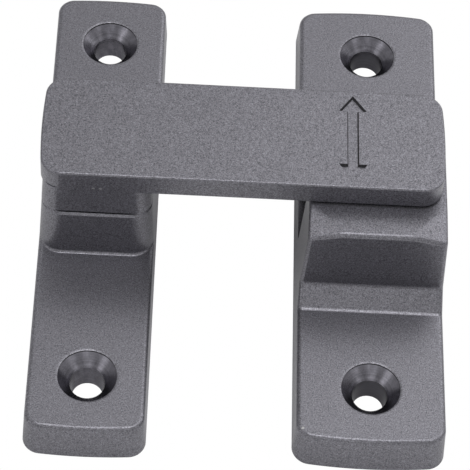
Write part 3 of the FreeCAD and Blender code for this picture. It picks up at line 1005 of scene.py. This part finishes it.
@dataclass
class SwingBar:
    """Flat bar with its hub, spigot and stop lug, in millimetres."""

    top: float
    length: float
    width: float = 17.1
    thickness: float = 3.65
    overhang: float = 8.1
    corner: float = 2.7
    bow: float = 80.0
    edge: float = 0.3
    hub_bottom: float = 14.6
    spigot_width: float = 6.6
    spigot_end: float = 4.0
    key_width: float = 5.2
    key_end: float = 2.85
    tap_width: float = 4.1
    tap_end: float = 16.3
    lug_widths: tuple[float, float] = (11.2, 13.0)
    lug_end: float = 12.6
    lug_sweep: float = 24.0
    lug_steps: int = 10
    arrow: Arrow = field(default_factory=Arrow)

    def build(self, base: LatchBase) -> Blank:
        """The whole bar casting.

        Args:
            base: The base, whose boss the hub continues.

        Returns:
            The casting.
        """
        underside = self.top - self.thickness
        casting = Blank.crowned(self.width, self.length, self.corner, self.bow)
        casting.move((0, 0, underside))
        casting.raise_to(self.top, self.width, self.length)
        casting.weld()
        casting.turn(90, "Z").move((self.length / 2 - self.overhang, 0, 0))
        casting.soften(rim_rounding(self.top, self.edge))
        casting.combine(self.hub(base, underside), Joining.ADD)
        self.add_spigot(casting, underside)
        casting.combine(self.arrow.tool(self.top), Joining.CUT)
        self.shade(casting, self.hub_bottom + base.boss_break)
        return casting

    def shade(self, casting: Blank, seam_top: float) -> None:
        """Paint shade on the walls of the arrow and on the underside of the hub with its chamfer, in the seam
        above the boss.

        Args:
            casting: The bar.
            seam_top: Height of the chamfer's upper edge.
        """
        floor, hub_inner = self.top - self.arrow.depth, max(self.lug_widths) / 2

        def on_arrow_wall(place: Vector, way: Vector) -> bool:
            """Whether a face is a wall of the sunk arrow."""
            return floor < place.z < self.top - NEAR and way.z < MOSTLY and self.arrow.covers(place)

        # painted shade: dark paint on the walls of the sunk arrow
        casting.coat(Skin.PAINTED_SHADE, on_arrow_wall)
        # painted shade: dark paint in the seam between the hub and the boss
        casting.coat(Skin.PAINTED_SHADE, lambda place, way: place.z < seam_top and place.xy.length > hub_inner)

    def hub(self, base: LatchBase, underside: float) -> Blank:
        """The hub, which carries on the boss's draft up to the bar.

        Args:
            base: The base with the boss.
            underside: Height of the bar's underside.

        Returns:
            The hub.
        """
        chamfer = base.boss_break
        start = 2 * (base.inset(self.hub_bottom) + chamfer)
        blank = Blank.sheet(base.width - start, base.boss_length - start, base.boss_round - start / 2)
        blank.move((0, 0, self.hub_bottom))
        for height in (self.hub_bottom + chamfer, underside + chamfer):
            shrink = 2 * base.inset(height)
            blank.raise_to(height, base.width - shrink, base.boss_length - shrink)
        blank.weld()
        return blank

    def add_spigot(self, casting: Blank, underside: float) -> None:
        """Add the spigot, its key with two flats and the stop lug, and cut the tapped hole.

        Args:
            casting: The bar.
            underside: Height of the bar's underside.
        """
        casting.combine(Blank.cylinder(self.spigot_width, self.spigot_end, underside), Joining.ADD)
        key = Blank.cylinder(self.spigot_width, self.key_end, underside)
        for side in (-1, 1):
            key.shave((side * self.key_width / 2, 0, 0), (side, 0, 0))
        casting.combine(key, Joining.ADD)
        lug = Blank.ring(self.lug_widths, self.lug_end, underside, self.lug_steps, self.lug_sweep)
        casting.combine(lug, Joining.ADD)
        casting.combine(Blank.cylinder(self.tap_width, 0, self.tap_end), Joining.CUT)


@dataclass
class Keeper(CrownedPlate):
    """Keeper plate with the hump that the bar comes to rest over."""

    # painted shade: the bores get a darker metal that stands in for the shade inside the holes
    hole: ScrewHole = field(default_factory=lambda: ScrewHole(bore_skin=Skin.BORE_SHADE))
    hump_top: float = 19.25
    hump_length: float = 22.1
    hump_shift: float = 3.8
    ramp_height: float = 2.5
    ramp_run: float = 2.75
    ramp_round: float = 1.0
    hump_round: float = 0.75
    hump_side_round: float = 0.45
    corner_round: float = 0.6
    facet_width: float = 5.2
    facet_length: float = 5.2
    facet_drop: float = 1.2
    ridge_round: float = 3.2
    recess_width: float = 9.0
    recess_shift: float = 0.85
    recess_roof: float = 3.0
    recess_wall: float = 3.0
    recess_round: float = 0.8
    recess_mouth: float = 1.2
    flat_angle: float = 8.0
    facet_angle: float = 30.0

    def build(self) -> Blank:
        """The whole keeper casting about the origin."""
        casting = self.block(self.hump_top)
        self.cut_shoulders(casting)
        self.cut_facets(casting)
        casting.soften(self.rounding)
        self.cut_recess(casting)
        self.hole.cut(casting, 0, self.thickness)
        self.hole.machine(casting, 0, self.thickness)
        return casting

    def hump_end(self, back: int, height: float) -> float:
        """How far the hump reaches from the plate's middle at a height, to the front (-1) or the back (1)."""
        return self.hump_length / 2 - back * self.hump_shift - self.inset(height)

    def cut_shoulders(self, casting: Blank) -> None:
        """Take the block down to the plate at both ends, leaving the ramps.

        Args:
            casting: The block.
        """
        ramp_top, above = self.thickness + self.ramp_height, 2 * self.hump_top
        for side in (-1, 1):
            foot = self.hump_end(side, ramp_top)
            profile = [
                (self.length, self.thickness), (foot + self.ramp_run, self.thickness), (foot, ramp_top),
                (self.hump_end(side, above), above), (self.length, above)]
            tool = Blank.polygon((-self.width, side * along, up) for along, up in profile)
            tool.push((2 * self.width, 0, 0))
            casting.combine(tool, Joining.CUT)

    def cut_facets(self, casting: Blank) -> None:
        """Slope the four corners of the hump's top.

        Args:
            casting: The block with its shoulders cut.
        """
        side = self.width / 2 - self.inset(self.hump_top)
        for right in (-1, 1):
            for back in (-1, 1):
                end = self.hump_end(back, self.hump_top)
                on_side = Vector((right * side, back * (end - self.facet_length), self.hump_top))
                on_end = Vector((right * (side - self.facet_width), back * end, self.hump_top))
                low = Vector((right * side, back * end, self.hump_top - self.facet_drop))
                outward = (on_end - on_side).cross(low - on_side)
                casting.shave(on_side, outward if outward.z > 0 else -outward)

    def rounding(self, edge: Edge) -> float:
        """Choose the radius of an edge from where it lies and how it turns.

        Args:
            edge: An edge of the block.

        Returns:
            The radius, 0 where the edge stays as it is.
        """
        middle = (edge.verts[0].co + edge.verts[1].co) / 2
        along = (edge.verts[1].co - edge.verts[0].co).normalized()
        if edge.calc_face_angle() < math.radians(self.flat_angle) or middle.z < self.thickness - NEAR:
            return 0
        on_wall = any(abs(face.normal.x) > MOSTLY for face in edge.link_faces)
        if not on_wall and middle.z < self.thickness + self.ramp_height + NEAR and abs(along.x) > STRAIGHT:
            crosses = abs(middle.y) < self.hump_length / 2 + self.hump_shift + self.ramp_run
            return self.ramp_round if crosses else self.edge
        if middle.z > self.hump_top - self.facet_drop - NEAR:
            if edge.calc_face_angle() < math.radians(self.facet_angle):
                return self.ridge_round
            return self.hump_side_round if on_wall else self.hump_round
        return self.corner_round if abs(along.z) > MOSTLY else self.edge

    def cut_recess(self, casting: Blank) -> None:
        """Cut the recess in the side of the hump that faces the base, and paint shade inside it.

        Args:
            casting: The rounded block.
        """
        height = self.hump_top - self.recess_roof - self.thickness
        depth = self.width - self.inset(self.thickness + self.ramp_height) - self.recess_wall
        tool = Blank.sheet(height, self.recess_width, self.recess_round)
        tool.raise_to(depth + 1, height, self.recess_width)
        tool.weld()
        tool.turn(90, "Y").move((-self.width / 2 - 1, -self.recess_shift, self.thickness + height / 2))
        casting.combine(tool, Joining.CUT)
        reach, mouth = self.recess_width / 2 + NEAR, self.width / 2 - self.recess_mouth

        def inside(place: Vector, way: Vector) -> bool:
            """Whether a face belongs to the recess and lies behind its mouth."""
            beside = abs(place.y + self.recess_shift) <= reach and abs(place.x) < mouth
            return beside and NEAR < place.z - self.thickness < height + NEAR

        # painted shade: dark paint on the faces inside the recess, where little light reaches
        casting.coat(Skin.PAINTED_SHADE, inside)


# the whole latch

@dataclass
class Latch:
    """Builds the castings, places them and dresses the pieces of the pivot."""

    nodes: dict[str, Object]
    paint: CastPaint = field(default_factory=CastPaint)
    # painted shade: near-black paint that stands in for the shade in recesses, grooves and seams
    shaded: CastPaint = field(
        default_factory=lambda: CastPaint((0.05, 0.049, 0.053), metallic=0.5, roughness=0.6))
    machined: TurnedMetal = field(
        default_factory=lambda: TurnedMetal((0.185, 0.18, 0.205), 1.0, 0.25, contrast=0.3, streaks=0.4))
    # painted shade: a darker metal for the keeper's bores, in place of the shade inside the holes
    bore_shade: TurnedMetal = field(default_factory=lambda: TurnedMetal((0.11, 0.107, 0.122), 1.0, 0.3))
    steel: TurnedMetal = field(default_factory=lambda: TurnedMetal((0.52, 0.52, 0.53)))
    bronze: TurnedMetal = field(default_factory=lambda: TurnedMetal((0.55, 0.38, 0.18)))
    acetal: MouldedPlastic = field(default_factory=MouldedPlastic)
    base_knocks: tuple[Knock, ...] = (Knock((3.0, -38.4, 5.3), 0.2), Knock((-0.6, -38.6, 5.2), 0.13))
    bar_knocks: tuple[Knock, ...] = (Knock((-0.4, -8.55, 20.15), 0.22), Knock((0.6, -8.55, 20.15), 0.22))
    keeper_knocks: tuple[Knock, ...] = (Knock((30.0, -36.9, 5.45), 0.25), Knock((30.9, -37.75, 5.1), 0.25))

    def sizes(self, node: str) -> tuple[Vector, Vector]:
        """Lowest corner and size of a node's box in millimetres."""
        low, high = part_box(node)
        return low / MM, (high - low) / MM

    def build(self) -> None:
        """Make every piece and report it."""
        # the painted shade, shared by all three castings
        shaded = self.shaded.material("painted_shade_material")
        _, base_size = self.sizes("latch_base")
        base = LatchBase(base_size.x, base_size.y, boss_height=base_size.z)
        self.place(
            base.build(), "base_casting", "latch_base", Body.MOUNTED,
            [self.paint.material("base_paint", self.base_knocks), shaded,
             self.machined.material("base_cones")])
        bar_low, bar_size = self.sizes("swing_bar")
        bar = SwingBar(bar_low.z + bar_size.z, bar_size.x)
        self.place(
            bar.build(base), "bar_casting", "swing_bar", Body.SWINGING,
            [self.paint.material("bar_paint", self.bar_knocks), shaded])
        keeper_low, keeper_size = self.sizes("keeper")
        keeper = Keeper(keeper_size.x, keeper_size.y, hump_top=keeper_size.z)
        across = keeper_low.x + keeper_size.x / 2
        casting = keeper.build().move((across, 0, 0))
        self.place(
            casting, "keeper_casting", "keeper", Body.MOUNTED,
            [self.paint.material("keeper_paint", self.keeper_knocks), shaded,
             self.machined.material("keeper_cones", MM * across), self.bore_shade.material("keeper_bore_shade")])
        self.dress_pivot()

    def place(self, casting: Blank, name: str, node: str, body: Body, skins: Sequence[Material]) -> None:
        """Put a casting in its node's place.

        Args:
            casting: The solid.
            name: The piece's name.
            node: The CAD node that it stands for.
            body: The body that it rides on.
            skins: Its materials.
        """
        piece = casting.finish(name, skins)
        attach(piece, body.value)
        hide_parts(node)

    def dress_pivot(self) -> None:
        """Give the pieces inside the pivot their metals and plastic."""
        steel = self.steel.material("turned_steel")
        finishes = {
            "pivot_bush": self.bronze.material("bush_bronze"),
            "friction_washer": self.acetal.material("washer_plastic"),
            "lower_disc_spring": steel,
            "upper_disc_spring": steel,
            "clamp_washer": steel,
            "pivot_screw": steel,
        }
        for node, finish in finishes.items():
            for slot in self.nodes[node].material_slots:
                slot.material = finish
            log.info("%s: %s", node, finish.name)


# studio

@dataclass(frozen=True)
class Softbox:
    """Square area light that faces the latch; places in metres."""

    name: str
    place: Triple
    size: float
    power: float

    def build(self, target: Vector) -> None:
        """Hang the light.

        Args:
            target: The point that it faces.
        """
        data = bpy.data.lights.new(self.name, "AREA")
        data.size = self.size
        data.energy = self.power
        lamp = bpy.data.objects.new(self.name, data)
        lamp.location = self.place
        lamp.rotation_euler = (target - Vector(self.place)).to_track_quat("-Z", "Y").to_euler()
        bpy.context.scene.collection.objects.link(lamp)


@dataclass
class Studio:
    """Pale floor, soft light and the camera at the photograph's angle."""

    camera_place: Triple = (0.01083, -0.20443, 0.28535)
    camera_turn: Triple = (35.4187, -2.8109, 1.3298)
    lens: float = 181.62
    sensor: float = 36.0
    sky: float = 0.56
    floor_size: float = 4.0
    floor_depth: float = 0.002
    floor_gap: float = 0.00002
    floor_corner: float = 0.01
    floor_shade: float = 0.85
    floor_roughness: float = 0.9
    target: Triple = (0.024, 0, 0.01)
    lights: tuple[Softbox, ...] = (
        Softbox("overhead", (0.02, -0.1, 1.0), 0.5, 2.45),
        Softbox("front", (0.02, -0.8, 0.56), 0.5, 0.35),
        Softbox("front_right", (0.74, -0.47, 0.48), 0.35, 0.2),
        Softbox("front_left", (-0.74, -0.47, 0.48), 0.35, 0.4),
        Softbox("back_right", (0.55, 0.45, 0.7), 1.1, 3.9),
        Softbox("back_left", (-0.45, 0.35, 0.85), 0.5, 0.3),
    )

    def build(self) -> None:
        """Set up the camera first, then the floor, the world and the lights."""
        self.add_camera()
        self.add_floor()
        self.add_world()
        for light in self.lights:
            light.build(Vector(self.target))
        bpy.context.scene.view_settings.view_transform = "Standard"

    def add_camera(self) -> None:
        """Camera fitted to the photograph's frame."""
        data = bpy.data.cameras.new("camera")
        data.sensor_fit = "HORIZONTAL"
        data.sensor_width = self.sensor
        data.lens = self.lens
        camera = bpy.data.objects.new("camera", data)
        camera.location = self.camera_place
        camera.rotation_euler = tuple(math.radians(turn) for turn in self.camera_turn)
        bpy.context.scene.collection.objects.link(camera)
        bpy.context.scene.camera = camera

    def add_floor(self) -> None:
        """Pale floor just under the latch, white where it is seen directly."""
        blank = Blank.sheet(self.floor_size / MM, self.floor_size / MM, self.floor_corner / MM)
        blank.push((0, 0, -self.floor_depth / MM))
        blank.move((0, 0, -self.floor_gap / MM))
        material, wiring, shader = new_material("pale_floor")
        shade = (self.floor_shade, self.floor_shade, self.floor_shade, 1)
        wiring.feed(shader, {"Base Color": shade, "Roughness": self.floor_roughness})
        white = wiring.add("ShaderNodeEmission", {"Color": (1, 1, 1, 1), "Strength": 1.0})
        seen = wiring.add("ShaderNodeLightPath").outputs["Is Camera Ray"]
        blend = wiring.add(
            "ShaderNodeMixShader", {0: seen, 1: shader.outputs["BSDF"], 2: white.outputs["Emission"]})
        wiring.feed(material.node_tree.nodes["Material Output"], {"Surface": blend.outputs["Shader"]})
        floor = blank.finish("floor", [material])

    def add_world(self) -> None:
        """Even sky light, white where the camera sees it."""
        world = bpy.data.worlds.new("sky")
        world.use_nodes = True
        bpy.context.scene.world = world
        wiring = Wiring(world.node_tree)
        seen = wiring.add("ShaderNodeLightPath").outputs["Is Camera Ray"]
        strength = wiring.add("ShaderNodeMapRange", {"Value": seen, "To Min": self.sky, "To Max": 1.0})
        background = world.node_tree.nodes["Background"]
        wiring.feed(background, {"Color": (1, 1, 1, 1), "Strength": strength.outputs["Result"]})


def main() -> None:
    """Build the studio and the latch."""
    logging.basicConfig(level=logging.INFO, format="%(message)s")
    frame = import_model()
    Studio().build()
    Latch(frame["nodes"]).build()


if __name__ == "__main__":
    main()
